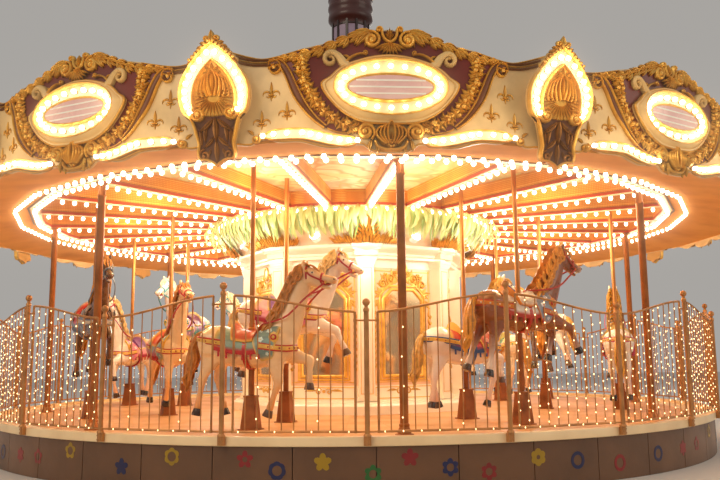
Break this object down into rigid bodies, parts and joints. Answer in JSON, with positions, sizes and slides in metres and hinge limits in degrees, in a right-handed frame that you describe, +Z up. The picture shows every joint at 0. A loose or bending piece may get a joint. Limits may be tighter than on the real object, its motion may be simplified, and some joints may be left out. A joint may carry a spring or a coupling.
{
  "type": "fairground carousel with galloping horses",
  "caption": "Round fairground carousel: turning floor with rising horses on poles, mirrored drum, lit canopy and fenced plinth.",
  "frame": {"origin": "on the ground, on the axis of the centre mast", "axes": "+Z up along the mast; -Y to the front, through the middle of a cartouche board; +X to the right"},
  "size_m": [11.03, 11.03, 7.0403],
  "materials": {
    "plinth_sheet": "satin brown sheet with flower stickers",
    "cream_paint": "semi-gloss cream",
    "iron": "dark primer",
    "brass_rail": "aged bronze-coloured tube",
    "pole_bronze": "polished, darkened",
    "floor_board": "painted boards, peach tan",
    "panel_paint": "pink cream with gold frames",
    "white_paint": "warm white gloss",
    "crown_leaf": "pale green moulded leaves",
    "sweep_paint": "orange with gold pattern, red edges",
    "ceiling_paint": "pale green and cream painted panels",
    "roof_skin": "dark red coated fabric",
    "lantern_paint": "dark red moulding",
    "board_paint": "maroon and cream with gold ornament",
    "horse_gelcoat": "painted glass-fibre gelcoat",
    "gold_ornament": "gold-painted moulded ornament",
    "bulb_glass": "frosted lit bulbs",
    "mirror_glass": "silvered panel"
  },
  "bodies": {
    "base": {"plinth_wall": "plinth_sheet", "rim_walk": "cream_paint", "ground_frame_and_mast": "iron", "fence_1": "brass_rail", "fence_2": "brass_rail", "fence_3": "brass_rail", "fence_4": "brass_rail", "fence_5": "brass_rail", "fence_6": "brass_rail"},
    "turntable": {"turntable_frame": "iron", "floor_section_1": "floor_board", "floor_section_2": "floor_board", "floor_section_3": "floor_board", "floor_section_4": "floor_board", "floor_section_5": "floor_board", "floor_section_6": "floor_board", "floor_section_7": "floor_board", "floor_section_8": "floor_board", "rim_pole_1": "pole_bronze", "rim_pole_2": "pole_bronze", "rim_pole_3": "pole_bronze", "rim_pole_4": "pole_bronze", "rim_pole_5": "pole_bronze", "rim_pole_6": "pole_bronze", "rim_pole_7": "pole_bronze", "rim_pole_8": "pole_bronze", "drum_wall": "panel_paint", "drum_columns": "white_paint", "drum_crown": "crown_leaf", "sweeps": "sweep_paint", "ceiling_panels": "ceiling_paint", "eaves_soffit": "sweep_paint", "eaves_fascia": "sweep_paint", "roof": "roof_skin", "roof_lantern": "lantern_paint", "rounding_boards_1": "board_paint", "rounding_boards_2": "board_paint", "rounding_boards_3": "board_paint", "rounding_boards_4": "board_paint", "rounding_boards_5": "board_paint", "rounding_boards_6": "board_paint"},
    "outer_horse_1": {"outer_horse_1": "horse_gelcoat"},
    "inner_horse_1": {"inner_horse_1": "horse_gelcoat"},
    "outer_horse_2": {"outer_horse_2": "horse_gelcoat"},
    "inner_horse_2": {"inner_horse_2": "horse_gelcoat"},
    "outer_horse_3": {"outer_horse_3": "horse_gelcoat"},
    "inner_horse_3": {"inner_horse_3": "horse_gelcoat"},
    "outer_horse_4": {"outer_horse_4": "horse_gelcoat"},
    "inner_horse_4": {"inner_horse_4": "horse_gelcoat"},
    "outer_horse_5": {"outer_horse_5": "horse_gelcoat"},
    "inner_horse_5": {"inner_horse_5": "horse_gelcoat"},
    "outer_horse_6": {"outer_horse_6": "horse_gelcoat"},
    "inner_horse_6": {"inner_horse_6": "horse_gelcoat"},
    "outer_horse_7": {"outer_horse_7": "horse_gelcoat"},
    "inner_horse_7": {"inner_horse_7": "horse_gelcoat"},
    "outer_horse_8": {"outer_horse_8": "horse_gelcoat"},
    "inner_horse_8": {"inner_horse_8": "horse_gelcoat"}
  },
  "joints": [
    {"name": "turntable_turn", "type": "hinge", "parent": "base", "child": "turntable", "pos_m": [0, 0, 0], "axis": [0, 0, 1], "continuous": true},
    {"name": "outer_horse_1_rise", "type": "slide", "parent": "turntable", "child": "outer_horse_1", "axis": [0, 0, 1], "range_m": [0, 0.35]},
    {"name": "inner_horse_1_rise", "type": "slide", "parent": "turntable", "child": "inner_horse_1", "axis": [0, 0, 1], "range_m": [-0.35, 0]},
    {"name": "outer_horse_2_rise", "type": "slide", "parent": "turntable", "child": "outer_horse_2", "axis": [0, 0, 1], "range_m": [-0.35, 0]},
    {"name": "inner_horse_2_rise", "type": "slide", "parent": "turntable", "child": "inner_horse_2", "axis": [0, 0, 1], "range_m": [0, 0.35]},
    {"name": "outer_horse_3_rise", "type": "slide", "parent": "turntable", "child": "outer_horse_3", "axis": [0, 0, 1], "range_m": [0, 0.35]},
    {"name": "inner_horse_3_rise", "type": "slide", "parent": "turntable", "child": "inner_horse_3", "axis": [0, 0, 1], "range_m": [-0.35, 0]},
    {"name": "outer_horse_4_rise", "type": "slide", "parent": "turntable", "child": "outer_horse_4", "axis": [0, 0, 1], "range_m": [-0.35, 0]},
    {"name": "inner_horse_4_rise", "type": "slide", "parent": "turntable", "child": "inner_horse_4", "axis": [0, 0, 1], "range_m": [0, 0.35]},
    {"name": "outer_horse_5_rise", "type": "slide", "parent": "turntable", "child": "outer_horse_5", "axis": [0, 0, 1], "range_m": [0, 0.35]},
    {"name": "inner_horse_5_rise", "type": "slide", "parent": "turntable", "child": "inner_horse_5", "axis": [0, 0, 1], "range_m": [-0.35, 0]},
    {"name": "outer_horse_6_rise", "type": "slide", "parent": "turntable", "child": "outer_horse_6", "axis": [0, 0, 1], "range_m": [-0.35, 0]},
    {"name": "inner_horse_6_rise", "type": "slide", "parent": "turntable", "child": "inner_horse_6", "axis": [0, 0, 1], "range_m": [0, 0.35]},
    {"name": "outer_horse_7_rise", "type": "slide", "parent": "turntable", "child": "outer_horse_7", "axis": [0, 0, 1], "range_m": [0, 0.35]},
    {"name": "inner_horse_7_rise", "type": "slide", "parent": "turntable", "child": "inner_horse_7", "axis": [0, 0, 1], "range_m": [-0.35, 0]},
    {"name": "outer_horse_8_rise", "type": "slide", "parent": "turntable", "child": "outer_horse_8", "axis": [0, 0, 1], "range_m": [-0.35, 0]},
    {"name": "inner_horse_8_rise", "type": "slide", "parent": "turntable", "child": "inner_horse_8", "axis": [0, 0, 1], "range_m": [0, 0.35]}
  ],
  "couplings": [
    {"joint": "inner_horse_1_rise", "follows": "outer_horse_1_rise", "ratio": -1},
    {"joint": "outer_horse_2_rise", "follows": "outer_horse_1_rise", "ratio": -1},
    {"joint": "inner_horse_2_rise", "follows": "outer_horse_1_rise", "ratio": 1},
    {"joint": "outer_horse_3_rise", "follows": "outer_horse_1_rise", "ratio": 1},
    {"joint": "inner_horse_3_rise", "follows": "outer_horse_1_rise", "ratio": -1},
    {"joint": "outer_horse_4_rise", "follows": "outer_horse_1_rise", "ratio": -1},
    {"joint": "inner_horse_4_rise", "follows": "outer_horse_1_rise", "ratio": 1},
    {"joint": "outer_horse_5_rise", "follows": "outer_horse_1_rise", "ratio": 1},
    {"joint": "inner_horse_5_rise", "follows": "outer_horse_1_rise", "ratio": -1},
    {"joint": "outer_horse_6_rise", "follows": "outer_horse_1_rise", "ratio": -1},
    {"joint": "inner_horse_6_rise", "follows": "outer_horse_1_rise", "ratio": 1},
    {"joint": "outer_horse_7_rise", "follows": "outer_horse_1_rise", "ratio": 1},
    {"joint": "inner_horse_7_rise", "follows": "outer_horse_1_rise", "ratio": -1},
    {"joint": "outer_horse_8_rise", "follows": "outer_horse_1_rise", "ratio": -1},
    {"joint": "inner_horse_8_rise", "follows": "outer_horse_1_rise", "ratio": 1}
  ]
}
